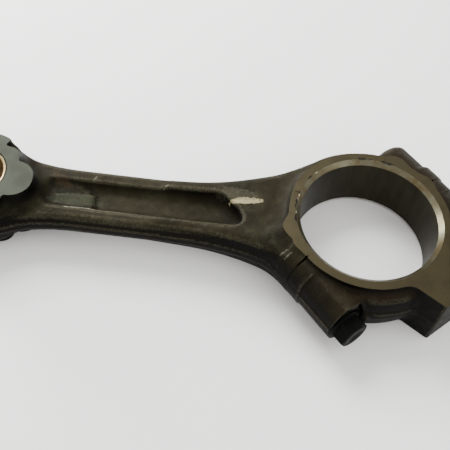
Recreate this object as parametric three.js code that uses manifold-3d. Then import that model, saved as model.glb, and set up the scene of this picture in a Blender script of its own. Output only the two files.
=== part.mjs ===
// Connecting rod of a diesel engine: a forged I-section rod with an obliquely split crank end,
// its bolted-on cap, the piston-pin bush, two flanged cap bolts and two dowel pins.
//
// Units are millimetres. The design frame has its origin at the centre of the crank bore,
// half way through the thickness, +X from the piston pin to the crankpin and +Z along the bores.
// The joint frame shares that origin and is turned by SPLIT_ANGLE about Z: its +X runs along the
// joint face, its +Y points into the rod and its -Y into the cap, along the bolts.
import * as THREE from "three";
import { mergeVertices } from "three/addons/utils/BufferGeometryUtils.js";
import Module from "manifold-3d";

const wasm = await Module();
wasm.setup();

// ---- Driving dimensions ----
const CRANK_BORE_R = 37;
const CENTRES = 213; // crank bore to pin bore
const WIDTH = 35; // over the machined faces of both ends
const SPLIT_ANGLE = THREE.MathUtils.degToRad(42);
const GAP = 0.3; // left between pieces that touch

const FACE_Z = WIDTH / 2;
const BOSS_Z = FACE_Z - 3.4; // as-forged skin round the crank bore
const SHANK_Z = 7.5; // half the thickness of the I-section
const PARTING_LAND = 1.2; // height of the flat where the forging dies met
const PIN_X = -CENTRES;

// Crank end
const RING_R = 1.18 * CRANK_BORE_R; // machined thrust ring
const BORE_CHAMFER = 2.4;
const HOOP_R = 1.27 * CRANK_BORE_R; // forged wall round the bore
const RING_BUMPS = [[-34.8, 17.6, 6.1], [35.5, 18.5, 6.8]]; // joint-frame x, y and radius
const CRANK_DRAFT = 3; // how far the forged side leans out on its way to the parting line
const RAMP_X = [-100, -92, -58]; // where the shank starts to thicken, and where it is full

// Bolt bosses, in the joint frame: oval bars along the bolts, with the forging's slab between
const BOLT_X = 44.6;
const SEAT_Y = -34; // the cap face that the bolt heads pull against
const SEAT_INNER_X = 36;
const SEAT_DEPTH = 30; // the milling cutter clears this much below the seat
const BOSS_HALF_X = 10;
const UPPER_BOSS_OUT = 3; // the upper boss carries this much more metal on its outer side
const UPPER_BOSS_LONGER = 3;
const BOSS_END_Y = 29;
const SLAB_EDGE_X = 46;
const PAD_END_Y = -61.5; // outer end of the balance pad
const LUG_HALF_X = 11.8; // the bar is fatter next to the joint
const LUG_LENGTH = 11.5;
const LUG_RAISED = 0.8;
const CAP_LUG_LENGTH = 9.5;
const CAP_LUG_RAISED = 0.6;
const DOME = 5; // length of a boss's rounded end

// Small end
const PIN_HOUSING_R = 16.7;
const BUSH_OUTER_R = PIN_HOUSING_R - GAP;
const BUSH_BORE_R = 15;
const SMALL_END_R = 27;
const SMALL_END_DRAFT = 1.8;
const SCALLOP_R = 6; // hollows between the round face and the lobe, centred outside the face
const SCALLOP_OUT = 3.2;
const SCALLOP_ANGLE = 57;
const LOBE_REACH = 31.5; // how far the machined face runs out along the shank

// Shank
const SHANK_Y = 15.5; // half its width over the flanges
const POCKET_Y = 9.4; // half the width between the flanges
const POCKET_DEPTH = 4.4;
const POCKET_END_X = -172; // the end of its floor next to the small end
const POCKET_WALL = 3.4; // sideways run of the pocket's rounded wall

// Cap bolt M11 and dowel pin
const BOLT_R = 5.5;
const BOLT_NECK_R = 4.9;
const BOLT_HOLE_R = 5.8;
const THREAD_HOLE_R = BOLT_R + GAP;
const BOLT_TIP_Y = 24;
const THREAD_HOLE_Y = 26.5;
const HEAD_ACROSS_FLATS = 16;
const HEAD_HEIGHT = 10.5;
const FLANGE_R = 10.6;
const FLANGE_THICK = 2.4;
const SPOT_FACE_R = FLANGE_R + 0.8;
const HEAD_CORE_R = 7.6; // round core of the head, inside the hexagon
const PIN_R = 2;
const PIN_HALF = 6; // half the length, centred on the joint
const PIN_Z = 9.4; // above the axis of the lower bolt and below that of the upper one

const BEYOND = 200; // a length that reaches past the whole width of the rod
const ROUND = 72; // segments of a large circle
const SMALL_ROUND = 32;

// ---- Materials ----
const material = (color, roughness, metalness) =>
  new THREE.MeshStandardMaterial({ color, roughness, metalness });
const forgedSteel = material(0x3b3629, 0.62, 0.75);
const bronze = material(0xa9845a, 0.38, 0.9);
const blackSteel = material(0x17181a, 0.5, 0.8);
const groundSteel = material(0x8f918e, 0.3, 0.95);

// ---- Solids ----
function solid(geometry) {
  const bare = geometry.index ? geometry.toNonIndexed() : geometry.clone();
  bare.deleteAttribute("normal");
  bare.deleteAttribute("uv");
  const merged = mergeVertices(bare, 1e-4);
  return new wasm.Manifold(
    new wasm.Mesh({
      numProp: 3,
      vertProperties: merged.attributes.position.array,
      triVerts: new Uint32Array(merged.index.array),
    }),
  );
}

function toGeometry(made) {
  const mesh = made.getMesh();
  const geometry = new THREE.BufferGeometry();
  geometry.setAttribute("position", new THREE.BufferAttribute(mesh.vertProperties, 3));
  geometry.setIndex(new THREE.BufferAttribute(mesh.triVerts, 1));
  geometry.computeVertexNormals();
  return geometry;
}

const joinAll = (solids) => solids.reduce((a, b) => a.add(b));
const cutAll = (body, cutters) => cutters.reduce((a, b) => a.subtract(b), body);

// A forged slab, symmetric about the parting plane: `shape` is its outline at z = +-halfHeight
// and its sides lean out by `lean` on the way to the parting line, bulging if bevelSegments > 1.
function forgedSlab(shape, halfHeight, lean, bevelSegments = 1, curveSegments = 24) {
  const geometry = new THREE.ExtrudeGeometry(shape, {
    depth: PARTING_LAND,
    bevelThickness: halfHeight - PARTING_LAND / 2,
    bevelSize: lean,
    bevelSegments,
    curveSegments,
  });
  return solid(geometry.translate(0, 0, -PARTING_LAND / 2));
}

// A straight cylinder along Z.
function cylinder(radius, halfHeight, segments, x = 0, y = 0) {
  const geometry = new THREE.CylinderGeometry(radius, radius, 2 * halfHeight, segments);
  return solid(geometry.rotateX(Math.PI / 2).translate(x, y, 0));
}

// A solid of revolution about Z, from [radius, z] pairs.
function turned(profile, segments) {
  const points = profile.map(([r, z]) => new THREE.Vector2(r, z));
  return new THREE.LatheGeometry(points, segments).rotateX(Math.PI / 2);
}

// The tool that bores a hole of radius r through the full width and chamfers both mouths.
function boringTool(r, chamfer, segments) {
  const reach = FACE_Z + 1;
  const mouth = r + chamfer + 1;
  return solid(
    turned([[0, -reach], [mouth, -reach], [r, -FACE_Z + chamfer], [r, FACE_Z - chamfer],
      [mouth, reach], [0, reach]], segments),
  );
}

// Where a point of the joint frame lies in the design frame.
const fromJoint = (x, y) =>
  new THREE.Vector2(x, y).rotateAround(new THREE.Vector2(), SPLIT_ANGLE);
const polar = (r, degrees) =>
  new THREE.Vector2(r, 0).rotateAround(new THREE.Vector2(), THREE.MathUtils.degToRad(degrees));

// ---- Outlines ----
// The rod at the crank end, in the design frame. It goes on past the joint, where it is cut off.
function crankEndOutline() {
  const shape = new THREE.Shape();
  shape.moveTo(-100, -SHANK_Y);
  shape.bezierCurveTo(-76, -SHANK_Y, -64, -17, ...fromJoint(-51, 10));
  shape.quadraticCurveTo(...fromJoint(-SLAB_EDGE_X - 1.5, 2), ...fromJoint(-SLAB_EDGE_X, -5));
  shape.lineTo(...fromJoint(SLAB_EDGE_X, -5));
  shape.lineTo(...fromJoint(SLAB_EDGE_X, BOSS_END_Y - 5));
  shape.quadraticCurveTo(...fromJoint(34, 32), ...polar(HOOP_R, 98));
  shape.absarc(0, 0, HOOP_R, THREE.MathUtils.degToRad(98), THREE.MathUtils.degToRad(128), false);
  shape.bezierCurveTo(-45, 28.5, -66, SHANK_Y - 1, -100, SHANK_Y);
  shape.closePath();
  return shape;
}

function shankOutline() {
  const shape = new THREE.Shape();
  const root = 27; // how far from the pin the flanges spread
  shape.moveTo(PIN_X + 12, -22);
  shape.bezierCurveTo(PIN_X + root, -18, PIN_X + root + 8, -SHANK_Y, PIN_X + 56, -SHANK_Y);
  shape.lineTo(-94, -SHANK_Y);
  shape.bezierCurveTo(-78, -SHANK_Y, -62, -18, -40, -22);
  shape.lineTo(-40, 22);
  shape.bezierCurveTo(-62, 19, -78, SHANK_Y, -94, SHANK_Y);
  shape.lineTo(PIN_X + 56, SHANK_Y);
  shape.bezierCurveTo(PIN_X + root + 8, SHANK_Y, PIN_X + root, 18, PIN_X + 12, 22);
  shape.closePath();
  return shape;
}

// The floor of the pocket between the flanges. Its crank end slants with the joint.
function pocketFloor() {
  const y = POCKET_Y - POCKET_WALL;
  const corner = 2.5;
  const shape = new THREE.Shape();
  shape.moveTo(POCKET_END_X + 3, -y);
  shape.lineTo(-74, -y);
  shape.quadraticCurveTo(-70.5, -y, -72, -y + corner);
  shape.lineTo(-81, y - corner);
  shape.quadraticCurveTo(-82.5, y, -85, y);
  shape.lineTo(POCKET_END_X + 3, y);
  shape.quadraticCurveTo(POCKET_END_X, y, POCKET_END_X, y - corner);
  shape.lineTo(POCKET_END_X, -y + corner);
  shape.quadraticCurveTo(POCKET_END_X, -y, POCKET_END_X + 3, -y);
  return shape;
}

// The machined face of the small end: a round head with a lobe that runs out over the shank.
function smallEndOutline() {
  const shape = new THREE.Shape();
  const start = THREE.MathUtils.degToRad(36);
  shape.absarc(PIN_X, 0, SMALL_END_R, start, 2 * Math.PI - start, false);
  shape.bezierCurveTo(PIN_X + 21, -11, PIN_X + LOBE_REACH, -13, PIN_X + LOBE_REACH, 0);
  shape.bezierCurveTo(PIN_X + LOBE_REACH, 13, PIN_X + 21, 11,
    PIN_X + SMALL_END_R * Math.cos(start), SMALL_END_R * Math.sin(start));
  return shape;
}

// The cap between its two bosses, in the joint frame.
function capOutline() {
  const shape = new THREE.Shape();
  const seatAngle = Math.asin(-SEAT_Y / HOOP_R);
  shape.moveTo(SLAB_EDGE_X, 5);
  shape.lineTo(-SLAB_EDGE_X, 5);
  shape.lineTo(-SLAB_EDGE_X, SEAT_Y);
  shape.absarc(0, 0, HOOP_R, Math.PI + seatAngle, 2 * Math.PI - seatAngle, false);
  shape.lineTo(SLAB_EDGE_X, SEAT_Y);
  shape.closePath();
  return shape;
}

// The balance pad under the cap, in the joint frame.
function balancePadOutline() {
  const shape = new THREE.Shape();
  shape.moveTo(-12, -36);
  shape.lineTo(-4, PAD_END_Y);
  shape.lineTo(24, PAD_END_Y);
  shape.lineTo(31, -30);
  shape.closePath();
  return shape;
}

// An oval bar along the joint frame's Y, from y0 to y1.
function bossBar(side, halfX, halfZ, y0, y1, out = 0) {
  const bar = new THREE.CylinderGeometry(1, 1, y1 - y0, 40);
  return solid(bar.scale(halfX, 1, halfZ).translate(side * BOLT_X + out, (y0 + y1) / 2, 0));
}

// The rod's half of a bolt boss: a bar with a domed end, and a fatter lug next to the joint.
function rodBoss(side) {
  const extra = side > 0 ? [0, UPPER_BOSS_OUT] : [0];
  return joinAll(extra.flatMap((out) => {
    const barEnd = BOSS_END_Y - DOME + (out > 0 ? UPPER_BOSS_LONGER : 0);
    const dome = new THREE.SphereGeometry(1, 40, 20);
    dome.scale(BOSS_HALF_X, DOME, BOSS_Z).translate(side * BOLT_X + out, barEnd, 0);
    return [
      bossBar(side, BOSS_HALF_X, BOSS_Z, -5, barEnd, out),
      solid(dome),
      bossBar(side, LUG_HALF_X, BOSS_Z + LUG_RAISED, -5, LUG_LENGTH, out),
    ];
  }));
}

// The cap's half of a bolt boss, with the same lug, shorter.
function capBoss(side) {
  const out = side > 0 ? UPPER_BOSS_OUT : 0;
  return joinAll([
    bossBar(side, BOSS_HALF_X, BOSS_Z, SEAT_Y, 5),
    bossBar(side, BOSS_HALF_X, BOSS_Z, SEAT_Y, 5, out),
    bossBar(side, BOSS_HALF_X + CAP_LUG_RAISED, BOSS_Z + LUG_RAISED, -CAP_LUG_LENGTH, 5, out),
  ]);
}

// ---- Tools shared by rod and cap ----
const turnDegrees = THREE.MathUtils.radToDeg(SPLIT_ANGLE);
const intoDesign = (made) => made.rotate([0, 0, turnDegrees]);

function halfSpace(side) {
  const box = new THREE.BoxGeometry(BEYOND, BEYOND, BEYOND);
  return solid(box.translate(0, side * (BEYOND / 2 - GAP / 2), 0));
}

// A hole along the joint frame's Y, from y0 to y1.
function boltWayHole(radius, x, y0, y1) {
  const hole = new THREE.CylinderGeometry(radius, radius, y1 - y0, SMALL_ROUND);
  return solid(hole.translate(x, (y0 + y1) / 2, 0));
}

// The dowel pins stand diagonally across the bore from each other, each beside its bolt.
const dowelHoles = () =>
  [-1, 1].map((side) =>
    boltWayHole(PIN_R + GAP, side * BOLT_X, -PIN_HALF - GAP, PIN_HALF + GAP)
      .translate([0, 0, -side * PIN_Z]));

const crankBoring = () => boringTool(CRANK_BORE_R, BORE_CHAMFER, ROUND);

// ---- Pieces ----
function makeRod() {
  // Seen from the side, the crank end grows out of the shank up a ramp on each face.
  const upperEdge = [[RAMP_X[0], SHANK_Z - 1], [RAMP_X[1], SHANK_Z], [RAMP_X[2], BOSS_Z],
    [BEYOND / 2, BOSS_Z]];
  const lowerEdge = upperEdge.map(([x, z]) => [x, -z]).reverse();
  const side = new THREE.Shape([...upperEdge, ...lowerEdge].map(([x, z]) => new THREE.Vector2(x, z)));
  const ramp = new THREE.ExtrudeGeometry(side, { depth: BEYOND, bevelEnabled: false });
  ramp.rotateX(Math.PI / 2).translate(0, BEYOND / 2, 0);
  const crankEnd = forgedSlab(crankEndOutline(), BOSS_Z, CRANK_DRAFT, 2).intersect(solid(ramp));

  // The ring runs out a little over each bolt boss.
  const bumps = RING_BUMPS.map(([x, y, r]) => intoDesign(cylinder(r, FACE_Z, SMALL_ROUND, x, y)));

  const blank = joinAll([
    forgedSlab(shankOutline(), SHANK_Z, 0.9),
    crankEnd,
    cylinder(RING_R, FACE_Z, ROUND),
    ...bumps,
    ...[-1, 1].map((side) => intoDesign(rodBoss(side))),
    forgedSlab(smallEndOutline(), FACE_Z, SMALL_END_DRAFT),
  ]);

  const pockets = [-1, 1].map((face) => {
    const floor = new THREE.ExtrudeGeometry(pocketFloor(), {
      depth: 0.5,
      bevelThickness: POCKET_DEPTH,
      bevelSize: POCKET_WALL,
      bevelSegments: 4,
      curveSegments: 4,
    });
    return solid(floor.translate(0, 0, face * SHANK_Z - 0.25));
  });

  const scallops = [-1, 1].flatMap((side) =>
    [-1, 1].map((face) => {
      const dip = new THREE.SphereGeometry(SCALLOP_R, 20, 14);
      const at = polar(SMALL_END_R + SCALLOP_OUT, side * SCALLOP_ANGLE);
      return solid(dip.translate(PIN_X + at.x, at.y, face * (FACE_Z + 1)));
    }),
  );

  const threads = [-1, 1].map((side) =>
    boltWayHole(THREAD_HOLE_R, side * BOLT_X, -1, THREAD_HOLE_Y));

  return cutAll(blank, [
    ...pockets,
    ...scallops,
    crankBoring(),
    boringTool(PIN_HOUSING_R, 0.5, 56).translate([PIN_X, 0, 0]),
    intoDesign(halfSpace(-1)),
    ...threads.map(intoDesign),
    ...dowelHoles().map(intoDesign),
  ]);
}

// Made in the joint frame.
function makeCap() {
  const blank = joinAll([
    forgedSlab(capOutline(), BOSS_Z, 2.5, 2, 36),
    cylinder(RING_R, FACE_Z, ROUND),
    ...[-1, 1].map(capBoss),
    forgedSlab(balancePadOutline(), FACE_Z, 1.2),
  ]);
  const clearances = [-1, 1].map((side) =>
    boltWayHole(BOLT_HOLE_R, side * BOLT_X, SEAT_Y - 5, 2));
  // Each bolt head turns on a milled seat that ends in a round wall against the hoop.
  const seats = [-1, 1].map((side) => {
    const beyond = new THREE.BoxGeometry(SEAT_DEPTH, SEAT_DEPTH, 2 * FACE_Z + 2);
    beyond.translate(side * (SEAT_INNER_X + SEAT_DEPTH / 2), SEAT_Y - SEAT_DEPTH / 2, 0);
    const roundWall = boltWayHole(SPOT_FACE_R, side * BOLT_X, SEAT_Y - SEAT_DEPTH, SEAT_Y);
    return roundWall.add(solid(beyond));
  });
  return cutAll(blank, [
    crankBoring(),
    halfSpace(1),
    ...clearances,
    ...seats,
    ...dowelHoles(),
  ]);
}

// A cap bolt in the joint frame, with its head towards -Y.
function makeBolt() {
  const seat = SEAT_Y - GAP;
  const flangeTop = seat - FLANGE_THICK;
  const headEnd = seat - HEAD_HEIGHT;
  const cornerR = HEAD_ACROSS_FLATS / Math.sqrt(3);
  const stem = solid(
    new THREE.LatheGeometry(
      [[0, headEnd + 1], [HEAD_CORE_R, headEnd + 1], [HEAD_CORE_R, flangeTop],
        [FLANGE_R, flangeTop + 1.2],
        [FLANGE_R, seat], [BOLT_R, seat], [BOLT_R, seat + 8], [BOLT_NECK_R, seat + 9],
        [BOLT_NECK_R, -1], [BOLT_R, 0], [BOLT_R, BOLT_TIP_Y - 1.2], [BOLT_R - 1.2, BOLT_TIP_Y],
        [0, BOLT_TIP_Y]].map(([r, y]) => new THREE.Vector2(r, y)),
      SMALL_ROUND,
    ),
  );
  const hexagon = solid(
    new THREE.CylinderGeometry(cornerR, cornerR, flangeTop - headEnd + 0.5, 6)
      .translate(0, (headEnd + flangeTop + 0.5) / 2, 0),
  );
  // A cone rounds off the corners of the hexagon's outer end.
  const crown = solid(
    new THREE.CylinderGeometry(cornerR + 6, HEAD_ACROSS_FLATS / 2 - 0.4, 12, 48)
      .translate(0, headEnd + 6, 0),
  );
  return stem.add(hexagon.intersect(crown));
}

function makeDowelPin() {
  const chamfer = 0.4;
  return new THREE.LatheGeometry(
    [[0, -PIN_HALF], [PIN_R - chamfer, -PIN_HALF], [PIN_R, -PIN_HALF + chamfer],
      [PIN_R, PIN_HALF - chamfer], [PIN_R - chamfer, PIN_HALF], [0, PIN_HALF]]
      .map(([r, y]) => new THREE.Vector2(r, y)),
    24,
  );
}

function makeBush() {
  const end = FACE_Z - 0.3;
  const chamfer = 0.5;
  return turned(
    [[BUSH_BORE_R, -end + chamfer], [BUSH_BORE_R + chamfer, -end], [BUSH_OUTER_R - chamfer, -end],
      [BUSH_OUTER_R, -end + chamfer], [BUSH_OUTER_R, end - chamfer],
      [BUSH_OUTER_R - chamfer, end], [BUSH_BORE_R + chamfer, end], [BUSH_BORE_R, end - chamfer],
      [BUSH_BORE_R, -end + chamfer]],
    56,
  );
}

// ---- Assembly ----
function place(parent, name, geometry, finish, x = 0, y = 0, z = 0) {
  const mesh = new THREE.Mesh(geometry, finish);
  mesh.name = name;
  mesh.position.set(x, y, z);
  parent.add(mesh);
}

const rod = new THREE.Group();
place(rod, "rod_forging", toGeometry(makeRod()), forgedSteel);
place(rod, "pin_bush", makeBush(), bronze, PIN_X);

const joint = new THREE.Group();
joint.rotation.z = SPLIT_ANGLE;
rod.add(joint);
place(joint, "bearing_cap", toGeometry(makeCap()), forgedSteel);
const boltShape = toGeometry(makeBolt());
const pinShape = makeDowelPin();
for (const [side, word] of [[-1, "lower"], [1, "upper"]]) {
  place(joint, `${word}_cap_bolt`, boltShape, blackSteel, side * BOLT_X);
  place(joint, `${word}_dowel_pin`, pinShape, groundSteel, side * BOLT_X, 0, -side * PIN_Z);
}

// The part's own frame has its origin under the middle of the rod as it lies on its side.
const box = new THREE.Box3().setFromObject(rod, true);
const middle = box.getCenter(new THREE.Vector3());
rod.position.set(-middle.x, -middle.y, -box.min.z);
const part = new THREE.Group();
part.add(rod);

export default part;
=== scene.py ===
"""A forged diesel connecting rod, lying on its side.

The CAD frame gives every piece its place. The two forgings are shaped here as solid fields, with
the draft, fillets and rounded edges of a hammered part, and are then cut by the same operations
as the real ones: faced, bored, split, drilled and spot-faced. Shapes are worked out in
millimetres, in two frames:
  design frame  origin at the centre of the crank bore, half way through the rod; +X runs from
                the piston pin to the crankpin and +Z along the bores
  joint frame   the same origin, turned by SPLIT about Z; +X runs along the joint and +Y into
                the rod, so -Y points into the cap, along the bolts
"""

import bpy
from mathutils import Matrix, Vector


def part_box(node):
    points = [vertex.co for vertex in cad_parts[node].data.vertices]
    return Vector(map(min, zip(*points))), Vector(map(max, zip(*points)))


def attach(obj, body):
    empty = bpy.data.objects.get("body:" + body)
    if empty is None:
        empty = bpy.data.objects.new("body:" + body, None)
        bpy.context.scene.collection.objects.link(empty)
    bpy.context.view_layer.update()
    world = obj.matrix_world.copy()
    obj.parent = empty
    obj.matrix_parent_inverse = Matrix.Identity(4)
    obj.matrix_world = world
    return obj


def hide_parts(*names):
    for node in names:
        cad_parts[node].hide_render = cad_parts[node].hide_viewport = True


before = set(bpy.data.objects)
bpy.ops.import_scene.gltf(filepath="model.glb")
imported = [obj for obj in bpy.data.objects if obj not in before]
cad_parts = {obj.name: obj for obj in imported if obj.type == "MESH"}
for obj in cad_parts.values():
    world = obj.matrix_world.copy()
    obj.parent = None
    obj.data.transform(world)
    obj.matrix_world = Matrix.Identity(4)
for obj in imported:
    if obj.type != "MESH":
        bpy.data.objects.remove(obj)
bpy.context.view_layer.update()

import math

import bpy
import numpy as np
from mathutils import Matrix, Vector

MM = 0.001

# ---- Driving dimensions, in millimetres ----
CENTRES = 213
SPLIT = math.radians(42)
FACE_Z = 17.5  # the machined faces of both ends
BOSS_Z = 14.1  # forged skin round the crank bore
SHANK_Z = 7.5

CRANK_BORE_R = 37
BORE_CHAMFER = 2.4
RING_R = 43.7
HOOP_R = 47.6
PIN_HOUSING_R = 16.4
BUSH_BORE_R = 14.9
BUSH_OUTER_R = 16.35

BOLT_X = 44.6
SEAT_Y = -34  # the cap face that the bolt heads pull against
SLAB_EDGE_X = BOLT_X + 1.4  # outer side of the forging between the bolt bosses
BOSS_HALF_X = 9.7
BOSS_DOME = 7  # length of a boss's rounded end
UPPER_BOSS_OUT = 4.6  # the upper boss carries this much more metal on its outer side
UPPER_BOSS_LONGER = 6
RING_LUG_X, RING_LUG_R = 38.5, 6.9  # where the thrust ring runs out along the joint
BOLT_R = 5.5
BOLT_HOLE_R = 5.75
BOLT_TIP_Y = 24
HEAD_ACROSS_FLATS = 15.4
HEAD_HEIGHT = 9.2
FLANGE_R = 10.2
FLANGE_THICK = 2.4
DOWEL_R = 2
DOWEL_HALF = 6
DOWEL_Z = 9.4
DOWEL_FIT = 0.02  # on the radius, for the pin and again for its hole

SHANK_Y = 15.4
POCKET_Y = 9.4
JOINT_CLEARANCE = 0.03  # each side of the joint, so that the two faces don't coincide

STEP = 0.75  # spacing of the samples that a forging is skinned from
BLOCK_Z = 21  # how high the samples reach
BLANK_Z = 20  # the blank's height where its faces are machined afterwards
NO_DOME = 60  # a bar this long ends outside the samples
CUTTER_Z = 30  # half the height of a cutter that goes right through
CUTTER_XY = 90
FACING_XY = 120
FACING_Z = 40

pin_low, pin_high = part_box("pin_bush")
DESIGN_ORIGIN = (pin_low + pin_high) / 2 + Vector((CENTRES * MM, 0, 0))
TURN = Matrix.Rotation(SPLIT, 4, "Z")  # takes a joint-frame shape into the design frame


# ---- Outlines: closed rings of points in a plane ----
def into_design(points):
    """Joint-frame points, in the design frame."""
    points = np.atleast_2d(np.asarray(points, float))
    c, s = math.cos(SPLIT), math.sin(SPLIT)
    return points @ np.array([[c, s], [-s, c]])


def into_joint(x, y):
    """Design-frame coordinates, in the joint frame."""
    c, s = math.cos(SPLIT), math.sin(SPLIT)
    return c * x + s * y, c * y - s * x


def curve(*controls, steps=14):
    """A Bezier curve through its first and last control points, without the last."""
    t = np.linspace(0, 1, steps, endpoint=False)[:, None]
    layer = [np.asarray(p, float)[None] for p in controls]
    while len(layer) > 1:
        layer = [a * (1 - t) + b * t for a, b in zip(layer, layer[1:])]
    return layer[0]


def arc(centre, radius, start, end, steps=24):
    """An arc from start to end degrees, without its last point."""
    angle = np.radians(np.linspace(start, end, steps, endpoint=False))
    return np.asarray(centre, float) + radius * np.stack([np.cos(angle), np.sin(angle)], 1)


def outline(*stretches):
    return np.concatenate([np.atleast_2d(np.asarray(s, float)) for s in stretches])


def distance_to(ring, x, y):
    """Distance from each point to a closed ring, negative inside it."""
    nearest = np.full(np.broadcast(x, y).shape, np.inf)
    inside = np.zeros(nearest.shape, bool)
    for (ax, ay), (bx, by) in zip(ring, np.roll(ring, -1, axis=0)):
        ex, ey = bx - ax, by - ay
        t = np.clip(((x - ax) * ex + (y - ay) * ey) / (ex * ex + ey * ey + 1e-12), 0, 1)
        nearest = np.minimum(nearest, (x - ax - t * ex) ** 2 + (y - ay - t * ey) ** 2)
        if ay != by:
            spans = (y < ay) != (y < by)
            inside ^= spans & (x < ax + (y - ay) / (by - ay) * ex)
    return np.sqrt(nearest) * np.where(inside, -1, 1)


# ---- Solid fields: negative inside the metal, zero on its skin ----
def join(a, b, fillet):
    """The union of two solids, with a fillet about this wide in the corner between them."""
    overlap = np.maximum(fillet - np.abs(a - b), 0) / fillet
    return np.minimum(a, b) - overlap**2 * fillet / 4


def common(a, b, rounding):
    """What lies in both solids, with its new edge rounded."""
    return -join(-a, -b, rounding)


def cut_away(a, b, rounding):
    return common(a, -b, rounding)


def ease(low, high, value):
    t = np.clip((value - low) / (high - low), 0, 1)
    return t * t * (3 - 2 * t)


def flash(height):
    """1 in the trimmed flash land along the parting line, 0 above it."""
    return ease(3.4, 2.4, height)


def slab(distance, z, half_height, lean, rounding, land=0.5):
    """A drafted slab: its sides lean out to the flash land at the parting line."""
    height = np.abs(z)
    draft = lean * (1 - np.minimum(height / half_height, 1) ** 2)
    return common(distance - draft - land * flash(height), height - half_height, rounding)


def bar(x, y, z, half_x, half_z, top):
    """An oval bar along Y round each bolt, with a domed end above `top`."""
    out = UPPER_BOSS_OUT * ease(-3, 5, x - BOLT_X)
    longer = UPPER_BOSS_LONGER * ease(-3, 5, x)
    across = (np.abs(x) - BOLT_X) / (half_x + out)
    along = np.maximum(y - top - longer, 0) / BOSS_DOME
    return (np.sqrt(across**2 + along**2 + (z / half_z) ** 2) - 1) * half_x


class Block:
    """Sample points of half a block of space, from the parting plane up."""

    def __init__(self, low, high):
        self.low = np.array([*low, 0.0])
        nx, ny = (int((b - a) / STEP) + 2 for a, b in zip(low, high))
        self.x = (low[0] + STEP * np.arange(nx))[:, None, None]
        self.y = (low[1] + STEP * np.arange(ny))[None, :, None]
        self.z = (STEP * (np.arange(int(BLOCK_Z / STEP)) + 0.5))[None, None, :]


# ---- Turning fields into meshes ----
def skin(name, field, low):
    """Surface nets: one corner in each sample cell that the surface crosses, joined by quads."""
    field = np.concatenate([field[:, :, ::-1], field], axis=2)
    field = np.pad(field, 1, constant_values=STEP)
    low = np.array([low[0] - STEP, low[1] - STEP, -STEP * (field.shape[2] - 1) / 2])
    cells = np.array(field.shape) - 1
    total = np.zeros((*cells, 3))
    hits = np.zeros(cells, int)
    quads = []
    for axis in range(3):
        first = field.take(range(cells[axis]), axis)
        last = field.take(range(1, cells[axis] + 1), axis)
        edge = np.argwhere((first < 0) != (last < 0))
        at = tuple(edge.T)
        point = edge.astype(float)
        point[:, axis] += first[at] / (first[at] - last[at])
        one, two = (axis + 1) % 3, (axis + 2) % 3
        around = []
        for back_one, back_two in ((0, 0), (1, 0), (1, 1), (0, 1)):
            cell = edge.copy()
            cell[:, one] -= back_one
            cell[:, two] -= back_two
            around.append(np.ravel_multi_index(tuple(cell.T), cells))
            np.add.at(total, tuple(cell.T), point)
            np.add.at(hits, tuple(cell.T), 1)
        quad = np.stack(around, axis=1)
        leaving = first[at] < 0
        quads.append(np.where(leaving[:, None], quad, quad[:, ::-1]))
    used = hits > 0
    number = np.cumsum(used.ravel()) - 1
    points = total[used] / hits[used][:, None] * STEP + low
    return mesh_object(name, points, number[np.concatenate(quads)])


def linked(name, data):
    """A new object in the scene."""
    made = bpy.data.objects.new(name, data)
    bpy.context.scene.collection.objects.link(made)
    return made


def mesh_object(name, points, faces):
    """A new object from points in millimetres and faces of one size."""
    faces = np.asarray(faces)
    mesh = bpy.data.meshes.new(name)
    mesh.vertices.add(len(points))
    mesh.vertices.foreach_set("co", np.asarray(points, float).ravel())
    mesh.loops.add(faces.size)
    mesh.loops.foreach_set("vertex_index", faces.ravel().astype(np.int32))
    mesh.polygons.add(len(faces))
    starts = np.arange(0, faces.size, faces.shape[1]).astype(np.int32)
    mesh.polygons.foreach_set("loop_start", starts)
    mesh.update(calc_edges=True)
    return linked(name, mesh)


def turned(name, profile, segments, finishes):
    """A solid of revolution about Z from (radius, z) pairs. The finishes go to its stretches
    in turn, and start again when they run out."""
    points, faces, finish_of = [], [], []
    rings = []
    for r, z in profile:
        if r < 1e-6:
            rings.append([len(points)])
            points.append((0, 0, z))
            continue
        rings.append(range(len(points), len(points) + segments))
        angle = np.linspace(0, 2 * math.pi, segments, endpoint=False)
        points += [(r * math.cos(a), r * math.sin(a), z) for a in angle]
    for stretch, (lower, upper) in enumerate(zip(rings, rings[1:] + rings[:1])):
        for i in range(segments):
            j = (i + 1) % segments
            corners = [lower[i % len(lower)], lower[j % len(lower)],
                       upper[j % len(upper)], upper[i % len(upper)]]
            corners = list(dict.fromkeys(corners))
            if len(corners) > 2:
                faces.append(corners)
                finish_of.append(stretch)
    mesh = bpy.data.meshes.new(name)
    mesh.from_pydata(points, [], faces)
    unique = list(dict.fromkeys(finishes))
    for finish in unique:
        mesh.materials.append(finish)
    slots = [unique.index(finishes[stretch % len(finishes)]) for stretch in finish_of]
    mesh.polygons.foreach_set("material_index", slots)
    return linked(name, mesh)


def in_one_finish(name, points, faces, finish):
    """A new object from points and faces of any size, all in one finish."""
    mesh = bpy.data.meshes.new(name)
    mesh.from_pydata(points, [], faces)
    mesh.materials.append(finish)
    return linked(name, mesh)


def prism(name, ring, z0, z1, finish):
    """An upright prism over a ring of points that runs anticlockwise."""
    n = len(ring)
    points = [(x, y, z0) for x, y in ring] + [(x, y, z1) for x, y in ring]
    faces = [list(range(n))[::-1], list(range(n, 2 * n))]
    faces += [(i, (i + 1) % n, n + (i + 1) % n, n + i) for i in range(n)]
    return in_one_finish(name, points, faces, finish)


def moved(made, *matrices):
    for matrix in matrices:
        made.data.transform(matrix)
    return made


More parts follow.
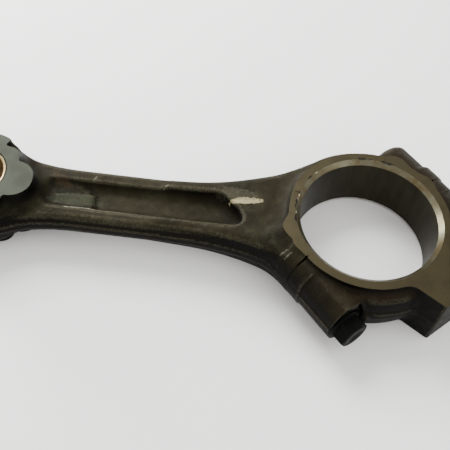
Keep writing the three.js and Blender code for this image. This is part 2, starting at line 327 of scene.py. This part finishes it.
def boolean(body, tool, operation="DIFFERENCE"):
    """Applies a cut or a join, and takes the tool's finishes with it."""
    step = body.modifiers.new("cut", "BOOLEAN")
    step.operation = operation
    step.solver = "MANIFOLD"
    step.material_mode = "TRANSFER"
    step.object = tool
    made = body.evaluated_get(bpy.context.evaluated_depsgraph_get())
    result = bpy.data.meshes.new_from_object(made)
    body.modifiers.clear()
    old, body.data = body.data, result
    bpy.data.meshes.remove(old)
    bpy.data.meshes.remove(tool.data)


def settle(made, name, body, finish_slot, *replaced, sharp=32):
    """Puts a finished piece in its place on a body."""
    made.data.transform(Matrix.Translation(DESIGN_ORIGIN) @ Matrix.Scale(MM, 4))
    made.data.shade_smooth()
    made.data.set_sharp_from_angle(angle=math.radians(sharp))
    made.name = made.data.name = name
    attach(made, body)
    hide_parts(*replaced)


def along_joint_y(x, z):
    """Stands a solid of revolution up along the joint frame's Y, at x and z."""
    return Matrix.Translation((x, 0, z)) @ Matrix.Rotation(-math.pi / 2, 4, "X")


# ---- The forged blanks ----
def crank_ring():
    """Outline of the rod's slab round the crank bore. It goes on past the joint."""
    edge = SLAB_EDGE_X
    lower = into_design([(-51, 10), (-edge - 1.5, 2), (-edge, -5)])
    upper = into_design([(edge, -5), (edge, 24), (34, 32)])
    shoulder = HOOP_R * np.array([math.cos(math.radians(98)), math.sin(math.radians(98))])
    return outline(
        curve((-112, -9), (-96, -13.4), (-66, -12.2), lower[0]),
        curve(lower[0], lower[1], lower[2]), lower[2], upper[0],
        curve(upper[1], upper[2], shoulder),
        arc((0, 0), HOOP_R, 98, 128),
        curve(HOOP_R * np.array([-math.cos(math.radians(52)), math.sin(math.radians(52))]),
              (-45, 28), (-68, 13.6), (-96, 14.4), (-112, 9)))


def shank_ring():
    pin = -CENTRES
    y, upper = SHANK_Y, SHANK_Y + 0.9
    return outline(
        curve((pin + 8, -24), (pin + 27, -19), (pin + 35, -y), (pin + 56, -y)),
        curve((-94, -y), (-78, -y), (-62, -18), (-40, -22)),
        curve((-40, 22), (-62, 19), (-78, upper), (-94, upper)),
        curve((pin + 56, upper), (pin + 35, upper), (pin + 27, 19), (pin + 8, 24)))


def pocket_ring():
    """The mouth of the pocket between the flanges. Its crank end slants with the joint."""
    y = POCKET_Y
    return outline(
        curve((-172, -y), (-177.5, -y), (-177.5, -y + 6), steps=6),
        curve((-177.5, y - 5), (-177.5, y), (-172, y), steps=6),
        curve((-85, y + 0.6), (-80, y + 0.6), (-77.5, y - 2), steps=6),
        curve((-70.5, -0.5), (-64.5, -y), (-74, -y), steps=8))


def forge_rod():
    block = Block((-246, -66), (56, 66))
    x, y, z = block.x, block.y, block.z
    xj, yj = into_joint(x, y)
    height = np.abs(z)
    radius = np.hypot(x, y)

    shank = slab(distance_to(shank_ring(), x, y), z, SHANK_Z, 2.1, 2.2)
    rise = SHANK_Z + 4.3 * ease(-99, -55, x) + 2.2 * ease(-50, -22, x)
    draft = 2.6 * (1 - (height / 18) ** 2) + 0.4 * flash(height)
    crank = distance_to(crank_ring(), x, y) - draft
    crank = common(crank, height - rise, 5)
    body = join(shank, crank, 7)

    bosses = bar(xj, yj, z, BOSS_HALF_X, BOSS_Z, 22) - 0.4 * flash(height)
    body = join(body, bosses, 4)
    lugs = common(bar(xj, yj, z, 11.6, BOSS_Z + 0.9, NO_DOME), yj - 11, 1.5)
    lower_lug = common(bar(xj, yj, z, 10.6, BOSS_Z + 1.1, NO_DOME), yj - 9.2, 0.8)
    body = join(body, np.where(xj > 0, lugs, lower_lug), 1.0)

    # The thrust ring stands out of the skin, and runs out over both bolt bosses.
    ring = radius - RING_R + 1.1 * ease(-12, -30, xj) * ease(-4, 4, yj)
    ring = join(ring, np.hypot(xj + 34.8, yj - 17.6) - 6.1, 3)
    ring = join(ring, np.hypot(xj - 35.5, yj - 18.5) - 6.8, 4)
    ring = join(ring, np.hypot(xj - RING_LUG_X, yj) - RING_LUG_R, 2)
    beside_shank = ease(-20, -44, x) * ease(-40, -22, -np.abs(y))
    body = join(body, common(ring, height - BLANK_Z, 1), 2.2 + 7 * beside_shank)

    # The small end: a head and a tongue, faced off together, above a lower shoulder.
    px, py = x + CENTRES, y
    lean = math.radians(-5)
    rx = math.cos(lean) * px + math.sin(lean) * py
    ry = np.abs(math.cos(lean) * py - math.sin(lean) * px)
    pin_radius = np.hypot(px, py)
    wedge = rx * math.sin(math.radians(66)) - ry * math.cos(math.radians(66))
    face = common(pin_radius - 27.7, wedge, 1.5)
    face = join(face, pin_radius - 22.9, 1)
    face = join(face, np.hypot(rx - 13, ry - 13.2) - 7, 1.5)
    face = join(face, np.hypot(rx - 20.6, ry) - 11.7, 0.8)
    wall = face - 2.2 * (1 - (height / FACE_Z)) - 0.6 * ease(3.2, 2.4, height)
    shoulder = slab(pin_radius - 26.6, z, 12.6, 1.8, 3.5)
    small_end = join(common(wall, height - BLANK_Z, 1), shoulder, 3)
    body = join(body, small_end, 7)

    # The pockets, with a raised floor next to the small end and a blank pad on it.
    step = np.array([(-185, -12), (-148, -12), (-149, 2), (-157.5, 7), (-168, 8.5), (-185, 8.5)])
    pad = np.array([(-171, -6.6), (-147.5, -5.6), (-149.5, 2.2), (-171, 0.2)])
    floor = 2.9 + 1.6 * ease(1.8, -2, distance_to(step, x, y))
    floor = floor + 0.7 * ease(0.9, -0.7, distance_to(pad, x, y))
    pocket = distance_to(pocket_ring(), x, y) + (SHANK_Z - height) * 0.35
    pocket = common(pocket, floor - height, 5.5)
    body = cut_away(body, pocket, 1.3)
    return block, np.maximum(body, -3 - yj)


def cap_ring():
    seat = math.degrees(math.asin(-SEAT_Y / HOOP_R))
    edge = SLAB_EDGE_X
    return outline(
        (edge, 5), (-edge, 5), (-edge, SEAT_Y), arc((0, 0), HOOP_R, 180 + seat, 360 - seat, 40),
        (edge, SEAT_Y))


def forge_cap():
    """The cap's blank, in the joint frame."""
    block = Block((-62, -66), (62, 8))
    x, y, z = block.x, block.y, block.z
    height = np.abs(z)
    body = slab(distance_to(cap_ring(), x, y), z, 13.7, 2.4, 4, 0.6)
    bosses = common(bar(x, y, z, BOSS_HALF_X, BOSS_Z, NO_DOME), SEAT_Y - 5 - y, 1)
    body = join(body, bosses - 0.6 * flash(height), 4)
    lugs = common(bar(x, y, z, 10.4, BOSS_Z + 0.8, NO_DOME), -9.3 - y, 0.8)
    body = join(body, lugs, 1.0)
    ring = join(np.hypot(x, y) - RING_R, np.hypot(x - RING_LUG_X, y) - RING_LUG_R, 2)
    pad_ring = np.array([(-12, -36), (-5.4, -61.6), (24, -61.6), (31, -30)])
    pad = distance_to(pad_ring, x, y) - 0.5 * (1 - height / FACE_Z)
    raised = join(ring, pad, 4)
    body = join(body, common(raised, height - BLANK_Z, 1), 2.4)
    return block, body


# ---- Machining ----
def bore_tool(r, chamfer, segments, wall, mouth):
    """Bores right through and chamfers both mouths."""
    reach = FACE_Z + 3
    out = r + chamfer + 3
    return turned(
        "bore", [(0, -reach), (out, -reach), (r, -FACE_Z + chamfer), (r, FACE_Z - chamfer),
                 (out, reach), (0, reach)],
        segments, [mouth, mouth, wall, mouth, mouth, mouth])


def facing_tools(x0, x1, finish):
    """Face off both sides, from x0 to x1."""
    ring = [(x0, -FACING_XY), (x1, -FACING_XY), (x1, FACING_XY), (x0, FACING_XY)]
    return [prism("facing", ring, FACE_Z, FACING_Z, finish),
            prism("facing", ring, -FACING_Z, -FACE_Z, finish)]


def joint_cutter(y0, y1):
    """Cuts everything away between y0 and y1, in the joint frame."""
    ring = [(-CUTTER_XY, y0), (CUTTER_XY, y0), (CUTTER_XY, y1), (-CUTTER_XY, y1)]
    return prism("beyond", ring, -CUTTER_Z, CUTTER_Z, MILLED)


def drill(r, x, y0, y1, z=0, segments=40):
    """Drills along the joint frame's Y, from y0 to y1."""
    tool = turned("drill", [(0, y0), (r, y0), (r, y1), (0, y1)], segments, [MILLED])
    return moved(tool, along_joint_y(x, z))


# ---- Finishes ----
class Signal:
    """A number that varies over a surface. Arithmetic on it adds Math nodes."""

    def __init__(self, finish, socket):
        self.finish, self.socket = finish, socket

    def math(self, operation, *others, first=None):
        values = [self if first is None else first, *others]
        node = self.finish.add("Math", {"operation": operation}, dict(enumerate(values)))
        return Signal(self.finish, node.outputs[0])

    def __add__(self, other):
        return self.math("ADD", other)

    def __sub__(self, other):
        return self.math("SUBTRACT", other)

    def __rsub__(self, other):
        return self.math("SUBTRACT", self, first=other)

    def __mul__(self, other):
        return self.math("MULTIPLY", other)

    __radd__, __rmul__ = __add__, __mul__

    def between(self, low, high):
        """0 at low, 1 at high, eased in between."""
        node = self.finish.add(
            "MapRange", {"interpolation_type": "SMOOTHSTEP"},
            {"Value": self, "From Min": low, "From Max": high})
        return Signal(self.finish, node.outputs["Result"])


class Finish:
    """A material while its nodes are being added."""

    def __init__(self, name, **constants):
        self.material = bpy.data.materials.new(name)
        self.material.use_nodes = True
        self.tree = self.material.node_tree
        self.shader = self.tree.nodes["Principled BSDF"]
        for socket, value in constants.items():
            self.shader.inputs[socket.replace("_", " ")].default_value = value
        self.place = self.add("TexCoord").outputs["Object"]

    def add(self, kind, settings=None, inputs=None):
        node = self.tree.nodes.new("ShaderNode" + kind)
        for key, value in (settings or {}).items():
            setattr(node, key, value)
        for key, value in (inputs or {}).items():
            self.feed(node.inputs[key], value)
        return node

    def feed(self, socket, value):
        if isinstance(value, Signal):
            value = value.socket
        if isinstance(value, bpy.types.NodeSocket):
            self.tree.links.new(value, socket)
        else:
            socket.default_value = value

    def noise(self, size, detail=3, roughness=0.55, place=None, distortion=0.0):
        """Cloudy noise whose blotches are about `size` millimetres across."""
        node = self.add("TexNoise", inputs={
            "Vector": place or self.place, "Scale": 1 / (size * MM), "Detail": detail,
            "Roughness": roughness, "Distortion": distortion})
        return Signal(self, node.outputs["Fac"])

    def attribute(self, name):
        node = self.add("Attribute", {"attribute_name": name})
        return Signal(self, node.outputs["Fac"])

    def axis(self, vector, index):
        node = self.add("SeparateXYZ", inputs={"Vector": vector})
        return Signal(self, node.outputs[index])

    def from_axis(self, x, y):
        """Distance in metres from an upright axis through x and y."""
        offset = self.add("VectorMath", {"operation": "SUBTRACT"}, {0: self.place, 1: (x, y, 0)})
        flat = self.add("VectorMath", {"operation": "MULTIPLY"},
                        {0: offset.outputs[0], 1: (1, 1, 0)})
        length = self.add("VectorMath", {"operation": "LENGTH"}, {0: flat.outputs[0]})
        return Signal(self, length.outputs["Value"])

    def spot(self, x, y, half_x, half_y, turn, ragged):
        """1 inside an upper-side oval mark, given in design millimetres and degrees."""
        wander = self.noise(1.6, detail=5, roughness=0.65) - 0.5
        local = self.add("Mapping", {"vector_type": "TEXTURE"}, {
            "Vector": self.place, "Rotation": (0, 0, math.radians(turn)),
            "Location": DESIGN_ORIGIN + MM * Vector((x, y, 0)),
            "Scale": (half_x * MM, half_y * MM, 1)}).outputs[0]
        along, across = self.axis(local, 0), self.axis(local, 1)
        shape = (along * along) + (across * across) + wander * (4 * ragged)
        upper = self.axis(self.place, 2).between(DESIGN_ORIGIN.z, DESIGN_ORIGIN.z + 2 * MM)
        return (1 - shape.between(0.75, 1.1)) * upper

    def mix(self, base, other, factor):
        """A colour between base, at 0, and other, at 1."""
        node = self.add("Mix", {"data_type": "RGBA"}, {0: factor, 6: base, 7: other})
        return node.outputs[2]

    def paint(self, **sockets):
        for name, value in sockets.items():
            self.feed(self.shader.inputs[name.replace("_", " ")], value)

    def relief(self, height, depth, strength):
        """Raises the surface by `height` times `depth` millimetres, in the shading."""
        bump = self.add("Bump", inputs={
            "Height": height, "Distance": depth * MM, "Strength": strength})
        self.feed(self.shader.inputs["Normal"], bump.outputs[0])


def rgb(r, g, b):
    return (r, g, b, 1)


def forged_skin():
    """Hammer scale: dark and grainy, worn to bare metal on raised edges, with a painted highlight
    along the rims of machined faces, darker in hollows, and painted shade on steep sides.
    """
    f = Finish("forged_skin", Metallic=0.25, Specular_IOR_Level=0.06)
    grain = f.noise(0.9, detail=4, roughness=0.7)
    blotch = f.noise(16, detail=3)
    patch = f.noise(42, detail=2)
    edge = f.attribute("edge")
    hollow = f.attribute("hollow")
    up = f.axis(f.add("NewGeometry").outputs["Normal"], 2)
    painted_shade_flank = 1 - up.math("ABSOLUTE").between(0.2, 0.92)
    colour = f.mix(rgb(0.0105, 0.0085, 0.0034), rgb(0.0165, 0.0150, 0.0070),
                   blotch.between(0.38, 0.66))
    colour = f.mix(colour, rgb(0.0052, 0.0046, 0.0020), patch.between(0.42, 0.62) * 0.9)
    smear = f.noise(6, detail=4, distortion=0.6)
    colour = f.mix(colour, rgb(0.0270, 0.0240, 0.0125),
                   smear.between(0.42, 0.78) * (1 - painted_shade_flank) * 0.5)
    colour = f.mix(colour, rgb(0.0150, 0.0095, 0.0040), smear.between(0.55, 0.25) * 0.35)
    # painted shade: steep sides, picked by their normals, are mixed almost to black
    colour = f.mix(colour, rgb(0.0009, 0.0009, 0.0005), painted_shade_flank * 0.93)
    # darker where the skin dips into hollows
    colour = f.mix(colour, rgb(0.0030, 0.0024, 0.0012), hollow.between(0.2, 1) * 0.7)
    crank_end = f.axis(f.place, 0).between(DESIGN_ORIGIN.x - 50 * MM, DESIGN_ORIGIN.x + 10 * MM)
    colour = f.mix(colour, rgb(0.0125, 0.0078, 0.0042), crank_end * (1 - painted_shade_flank) * 0.55)
    # wear on raised edges, plus the painted highlight line along machined rims that read_edges sets
    wear_and_rim_highlight = edge.between(0.3, 0.9) * grain.between(0.3, 0.7)
    colour = f.mix(colour, rgb(0.085, 0.080, 0.053), wear_and_rim_highlight * 0.4)
    speck = grain.between(0.56, 0.72)
    colour = f.mix(colour, rgb(0.045, 0.041, 0.024), speck * (1 - painted_shade_flank * 0.8) * 0.4)
    blank = f.spot(-159, -2.4, 15, 4.6, 2, 0.5)
    colour = f.mix(colour, rgb(0.024, 0.027, 0.016), blank * (0.2 + 0.8 * grain.between(0.4, 0.6)))
    rust = f.spot(-169, 9, 7, 2.6, -35, 1.0)
    colour = f.mix(colour, rgb(0.030, 0.020, 0.010), rust * 0.5)
    scrape = f.spot(-143, -8.6, 25, 0.75, 1.5, 1.1) * grain.between(0.36, 0.56)
    colour = f.mix(colour, rgb(0.17, 0.165, 0.12), scrape * 0.75)
    chip = f.spot(-66, 5.6, 9, 2.1, 4, 0.7)
    colour = f.mix(colour, rgb(0.24, 0.21, 0.115), chip * 0.9)
    scuff = f.spot(-72, 10, 12, 4, -8, 1.1) * (0.3 + 0.7 * grain.between(0.4, 0.62))
    colour = f.mix(colour, rgb(0.050, 0.046, 0.030), scuff * 0.6)
    for x, y, turn in ((-151, 11.4, 70), (-111, 11.2, 55), (-44, -25.8, 35), (-41.6, -27.6, 40)):
        nick = f.spot(x, y, 2.3, 0.6, turn, 0.7) * grain.between(0.35, 0.6)
        colour = f.mix(colour, rgb(0.12, 0.115, 0.085), nick * 0.55)
    f.paint(Base_Color=colour, Roughness=0.42 + 0.22 * grain + 0.08 * blotch)
    f.relief(grain * 0.9 + f.noise(3.5, detail=2) * 0.9 + f.noise(8, detail=1) * 3.0, 0.2, 0.9)
    return f.material


def turned_face(name, base, stain, axis, roughness):
    """A face turned about an upright axis, with fine rings and old oil stains."""
    f = Finish(name, Metallic=0.8)
    radius = f.from_axis(*axis)
    rings = (radius * (2 * math.pi / (0.55 * MM))).math("SINE")
    cloud = f.noise(14, detail=4)
    blot = f.noise(3.2, detail=3)
    colour = f.mix(base, stain, cloud.between(0.4, 0.68) * 0.7)
    colour = f.mix(colour, rgb(0.012, 0.010, 0.006), blot.between(0.62, 0.74) * 0.4)
    f.paint(Base_Color=colour, Roughness=roughness + 0.12 * cloud + 0.05 * rings)
    f.relief(rings * 0.5 + f.noise(0.8) * 0.8, 0.02, 0.5)
    return f.material


def bored(name, base, stain, roughness):
    """The honed wall of a bore, with upright streaks of dried oil."""
    f = Finish(name, Metallic=0.85)
    squeeze = f.add("VectorMath", {"operation": "MULTIPLY"}, {0: f.place, 1: (1, 1, 0.25)})
    streak = f.noise(5, detail=4, place=squeeze.outputs[0])
    stretch = f.add("VectorMath", {"operation": "MULTIPLY"}, {0: f.place, 1: (0.08, 0.08, 1)})
    hone = f.noise(0.5, detail=2, place=stretch.outputs[0])
    colour = f.mix(base, stain, streak.between(0.3, 0.8))
    f.paint(Base_Color=colour, Roughness=roughness + 0.06 * streak + 0.08 * hone)
    f.relief(hone, 0.012, 0.5)
    return f.material


def milled():
    """Bare cut steel, slightly dirty."""
    f = Finish("milled_steel", Metallic=0.9)
    grain = f.noise(0.7, detail=3)
    colour = f.mix(rgb(0.030, 0.028, 0.020), rgb(0.015, 0.012, 0.008), f.noise(6).between(0.4, 0.7))
    f.paint(Base_Color=colour, Roughness=0.34 + 0.15 * grain)
    f.relief(grain, 0.02, 0.4)
    return f.material


def blackened():
    """Black oxide on the bolts, with an oily bloom."""
    f = Finish("black_oxide", Metallic=0.2, Specular_IOR_Level=0.06)
    grain = f.noise(0.8, detail=4)
    bloom = f.noise(7, detail=3)
    colour = f.mix(rgb(0.0003, 0.0004, 0.0003), rgb(0.0012, 0.0014, 0.001), bloom.between(0.4, 0.7))
    f.paint(Base_Color=colour, Roughness=0.46 + 0.2 * grain)
    f.relief(grain, 0.05, 0.5)
    return f.material


CRANK_AXIS = (DESIGN_ORIGIN.x, DESIGN_ORIGIN.y)
PIN_AXIS = (DESIGN_ORIGIN.x - CENTRES * MM, DESIGN_ORIGIN.y)
SKIN = forged_skin()
RING_FACE = turned_face(
    "ring_face", rgb(0.034, 0.0275, 0.0115), rgb(0.023, 0.0175, 0.007), CRANK_AXIS, 0.44)
PIN_FACE = turned_face(
    "pin_face", rgb(0.024, 0.028, 0.019), rgb(0.018, 0.0185, 0.012), PIN_AXIS, 0.52)
CRANK_WALL = bored("crank_bore_wall", rgb(0.022, 0.0185, 0.0085), rgb(0.013, 0.010, 0.004), 0.42)
CHAMFER = bored("bore_chamfer", rgb(0.12, 0.115, 0.075), rgb(0.085, 0.058, 0.024), 0.22)
MILLED = milled()
BRONZE = bored("bronze", rgb(0.34, 0.24, 0.11), rgb(0.26, 0.17, 0.07), 0.34)
BUSH_RIM = bored("bush_rim", rgb(0.26, 0.23, 0.125), rgb(0.22, 0.18, 0.10), 0.4)
BLACK = blackened()


# ---- Pieces ----
DENT_ANGLES = (26, 31, 35.5, 41, 47, 54, 98, 104, 121, 126, 130.5, 136, 141, 147)
TICK_ANGLES = (36, 122.5)
BULGE_GAIN = 6
ON_PLANE = 0.05  # a corner this close to a machined plane lies on it


def read_edges(made, block, field, seat=None):
    """Stores how sharply the skin bulges or dips at each corner, from the field it came from.
    Corners on a machined plane or on the bolt seat get the full value, which paints a highlight
    line along the rims of the machined faces.
    """
    full = np.concatenate([field[:, :, ::-1], field], axis=2)
    soft = full.copy()
    for _ in range(3):
        for axis in range(3):
            soft = (np.roll(soft, 1, axis) + 2 * soft + np.roll(soft, -1, axis)) / 4
    bulge = (soft - full) / STEP * BULGE_GAIN
    mesh = made.data
    points = np.empty(len(mesh.vertices) * 3)
    mesh.vertices.foreach_get("co", points)
    points = points.reshape(-1, 3)
    low = np.array([block.low[0], block.low[1], -STEP * (full.shape[2] - 1) / 2])
    cell = np.clip(np.rint((points - low) / STEP).astype(int), 0, np.array(full.shape) - 1)
    value = bulge[tuple(cell.T)]
    # painted highlight: corners on a machined plane, and on the bolt seat, get edge 1, a thin
    # bright line along the rims of the machined faces
    cut = np.abs(points[:, 2]) > FACE_Z - ON_PLANE
    if seat is not None:
        cut |= np.abs(points[:, 1] - seat) < ON_PLANE
    value = np.where(cut, 1, value)
    for name, amount in (("edge", value), ("hollow", -value)):
        layer = mesh.attributes.new(name, "FLOAT", "POINT")
        layer.data.foreach_set("value", np.clip(amount, 0, 1).astype(np.float32))


def joint_notches():
    """Slots where the joint's edge runs out next to the thrust ring, on both faces."""
    slots = []
    for x0, x1, half in ((-50.2, RING_R * -0.985, 0.42), (RING_R + 1.6, 48.8, 0.5)):
        for z0, z1 in ((12.2, 20), (-20, -12.2)):
            ring = [(x0, -half), (x1, -half * 1.2), (x1, half), (x0, half)]
            slots.append(prism("slot", ring, z0, z1, MILLED))
    return slots


def edge_knocks():
    """Small dents along the mouth of the crank bore, in joint-frame degrees."""
    dents = []
    for i, angle in enumerate(DENT_ANGLES):
        r = CRANK_BORE_R + BORE_CHAMFER + 0.15 * (i % 3)
        size = 0.4 + 0.15 * (i * 7 % 4)
        profile = [(0, -size), (size, -0.3 * size), (1.3 * size, 0.5 * size), (0, size)]
        dent = turned("dent", profile, 5 + i % 3, [MILLED if i % 3 else CHAMFER])
        dents.append(moved(dent, Matrix.Scale(2.8, 4, Vector((0, 1, 0))),
                           Matrix.Translation((r, 0, FACE_Z)),
                           Matrix.Rotation(math.radians(angle), 4, "Z")))
    for angle in TICK_ANGLES:
        ring = [(39, -0.25), (42.3, -0.1), (42.3, 0.12), (39, 0.2)]
        tick = prism("tick", ring, 17.1, 18, MILLED)
        dents.append(moved(tick, Matrix.Rotation(math.radians(angle), 4, "Z")))
    return dents


def make_rod():
    block, field = forge_rod()
    rod = skin("rod", field, block.low)
    rod.data.materials.append(SKIN)
    middle = -CENTRES / 2
    for tool in facing_tools(-300, middle, PIN_FACE) + facing_tools(middle, FACING_XY, RING_FACE):
        boolean(rod, tool)
    boolean(rod, bore_tool(CRANK_BORE_R, BORE_CHAMFER, 256, CRANK_WALL, CHAMFER))
    housing = bore_tool(PIN_HOUSING_R, 0.6, 160, MILLED, MILLED)
    boolean(rod, moved(housing, Matrix.Translation((-CENTRES, 0, 0))))
    boolean(rod, moved(joint_cutter(-CUTTER_XY, JOINT_CLEARANCE), TURN))
    for side in (-1, 1):
        x, z = side * BOLT_X, -side * DOWEL_Z
        boolean(rod, moved(drill(BOLT_HOLE_R, x, -2, BOLT_TIP_Y + 2.5), TURN))
        boolean(rod, moved(drill(DOWEL_R + DOWEL_FIT, x, -1, DOWEL_HALF + 0.2, z), TURN))
    for tool in joint_notches() + edge_knocks():
        boolean(rod, moved(tool, TURN))
    read_edges(rod, block, field)
    settle(rod, "forged_rod", "rod", "forged_steel", "rod_forging")


def make_cap():
    block, field = forge_cap()
    cap = skin("cap", field, block.low)
    cap.data.materials.append(SKIN)
    for tool in facing_tools(-FACING_XY, FACING_XY, RING_FACE):
        boolean(cap, tool)
    boolean(cap, bore_tool(CRANK_BORE_R, BORE_CHAMFER, 256, CRANK_WALL, CHAMFER))
    boolean(cap, joint_cutter(-JOINT_CLEARANCE, CUTTER_XY))
    for side in (-1, 1):
        x, z = side * BOLT_X, -side * DOWEL_Z
        boolean(cap, drill(BOLT_HOLE_R, x, SEAT_Y - 5, 2))
        boolean(cap, drill(DOWEL_R + DOWEL_FIT, x, -DOWEL_HALF - 0.2, 1, z))
        boolean(cap, drill(FLANGE_R + 0.8, x, SEAT_Y - 30, SEAT_Y, segments=96))
        x0, x1 = sorted((side * 36, side * 70))
        ring = [(x0, -CUTTER_XY), (x1, -CUTTER_XY), (x1, SEAT_Y), (x0, SEAT_Y)]
        boolean(cap, prism("seat", ring, -CUTTER_Z, CUTTER_Z, MILLED))
    for slot in joint_notches():
        boolean(cap, slot)
    read_edges(cap, block, field, SEAT_Y)
    cap.data.transform(TURN)
    settle(cap, "forged_cap", "cap", "forged_steel", "bearing_cap")


def make_bush():
    end, lip = FACE_Z - 0.25, 1.05
    half = [(BUSH_OUTER_R, end - 0.4), (BUSH_OUTER_R - 0.2, end), (BUSH_BORE_R + lip, end),
            (BUSH_BORE_R + 0.25, end - 0.5), (BUSH_BORE_R, end - 1.2)]
    profile = half + [(r, -z) for r, z in reversed(half)]
    rim = [BUSH_RIM] * 2
    bush = turned("bush", profile, 192, rim + [BRONZE] * 5 + rim + [BRONZE])
    moved(bush, Matrix.Translation((-CENTRES, 0, 0)))
    settle(bush, "bronze_bush", "rod", "bronze", "pin_bush")


def thread(r, start, end, pitch=1.25, around=48):
    """A helical thread from start to end, fading out at both."""
    rows = int((end - start) / pitch * 8)
    points, faces = [(0, 0, start)], []
    for row in range(rows + 1):
        height = start + (end - start) * row / rows
        for i in range(around):
            angle = 2 * math.pi * i / around
            tooth = abs(((height / pitch - i / around) % 1) * 2 - 1)
            fade = min(1, (height - start) / 1.5) * min(1, max(0.0, (end - height) / 1.2))
            point_r = r - 0.72 + 0.7 * tooth * fade - 0.5 * max(0, 1 - (end - height) / 0.8)
            points.append((point_r * math.cos(angle), point_r * math.sin(angle), height))
    points.append((0, 0, end))
    for i in range(around):
        j = (i + 1) % around
        faces.append((0, 1 + j, 1 + i))
        faces.append((len(points) - 1, 1 + rows * around + i, 1 + rows * around + j))
        for row in range(rows):
            a = 1 + row * around
            faces.append((a + i, a + j, a + around + j, a + around + i))
    return in_one_finish("thread", points, faces, BLACK)


def make_bolt(side, word):
    top = SEAT_Y - HEAD_HEIGHT
    flange_top = SEAT_Y - FLANGE_THICK
    r = BOLT_R
    stem = turned(
        "bolt", [(0, top + 2), (7, top + 2), (7, flange_top - 0.6), (8.2, flange_top),
                 (FLANGE_R - 0.3, SEAT_Y - 1.3), (FLANGE_R, SEAT_Y - 1), (FLANGE_R, SEAT_Y - 0.3),
                 (FLANGE_R - 0.3, SEAT_Y - 0.02), (r + 0.6, SEAT_Y - 0.02), (r, SEAT_Y + 0.6),
                 (r, SEAT_Y + 12), (r - 0.7, SEAT_Y + 13), (r - 0.7, -4), (r, -3), (r, 1),
                 (r - 0.8, 2), (0, 2)], 64, [BLACK])
    corner = HEAD_ACROSS_FLATS / math.sqrt(3)
    hexagon = turned("head", [(0, top), (corner, top), (corner, flange_top + 0.5),
                              (0, flange_top + 0.5)], 6, [BLACK])
    flat = HEAD_ACROSS_FLATS / 2
    crown = turned("crown", [(0, top + 0.6), (3.5, top + 0.5), (4.5, top), (flat - 0.5, top),
                             (flat + 5, top + 3.2), (flat + 5, 0), (0, 0)], 96, [BLACK])
    boolean(hexagon, crown, "INTERSECT")
    boolean(stem, hexagon, "UNION")
    boolean(stem, thread(r, 1.0, BOLT_TIP_Y), "UNION")
    moved(stem, along_joint_y(side * BOLT_X, 0), TURN)
    settle(stem, f"{word}_bolt", f"{word}_bolt", "black_steel", f"{word}_cap_bolt", sharp=28)


def make_dowel(side, word):
    r, end = DOWEL_R - DOWEL_FIT, DOWEL_HALF
    dowel = turned("dowel", [(0, -end), (r - 0.6, -end), (r - 0.2, -end + 0.2), (r, -end + 0.7),
                             (r, end - 0.7), (r - 0.2, end - 0.2), (r - 0.6, end), (0, end)],
                   32, [MILLED])
    moved(dowel, along_joint_y(side * BOLT_X, -side * DOWEL_Z), TURN)
    settle(dowel, f"{word}_dowel", "rod", "ground_steel", f"{word}_dowel_pin")


make_rod()
make_cap()
make_bush()
for side, word in ((-1, "lower"), (1, "upper")):
    make_bolt(side, word)
    make_dowel(side, word)


# ---- Studio ----
def add_camera():
    camera = bpy.data.cameras.new("camera")
    camera.lens = 54.4
    camera.sensor_width = 36
    made = linked("camera", camera)
    forward = Vector((-0.0214, 0.5618, -0.8270)).normalized()
    right = Vector((0.9928, 0.1091, 0.0485))
    right = (right - forward * right.dot(forward)).normalized()
    up = right.cross(forward)
    turn = Matrix((right, up, -forward)).transposed().to_4x4()
    turn.translation = DESIGN_ORIGIN + MM * Vector((-68.2, -214.4, 309.4))
    made.matrix_world = turn
    bpy.context.scene.camera = made


def add_floor():
    f = Finish("pale_floor", Roughness=0.7)
    f.paint(Base_Color=f.mix(rgb(0.90, 0.895, 0.885), rgb(0.93, 0.925, 0.915), f.noise(60)))
    edge, top, underside = 3, -0.0002, -0.02  # in metres
    ring = [(-edge, -edge), (edge, -edge), (edge, edge), (-edge, edge)]
    floor = prism("floor", ring, underside, top, f.material)


def add_light(name, size, power, place, aim=(0, 0, 0.01)):
    lamp = bpy.data.lights.new(name, "AREA")
    lamp.energy = power
    lamp.size = size
    made = linked(name, lamp)
    made.location = place
    made.rotation_euler = (Vector(aim) - Vector(place)).to_track_quat("-Z", "Y").to_euler()


def add_sky():
    world = bpy.data.worlds.new("studio")
    bpy.context.scene.world = world
    world.use_nodes = True
    background = world.node_tree.nodes["Background"]
    background.inputs["Color"].default_value = (1.0, 0.99, 0.97, 1)
    background.inputs["Strength"].default_value = 1.2


add_camera()
add_floor()
add_light("key", 0.5, 16, (-0.30, 0.60, 0.70))
add_light("low", 0.25, 9, (-0.62, 0.45, 0.17), (0.08, 0, 0.02))
add_light("fill", 0.8, 4, (0.6, -0.2, 0.8))
add_sky()
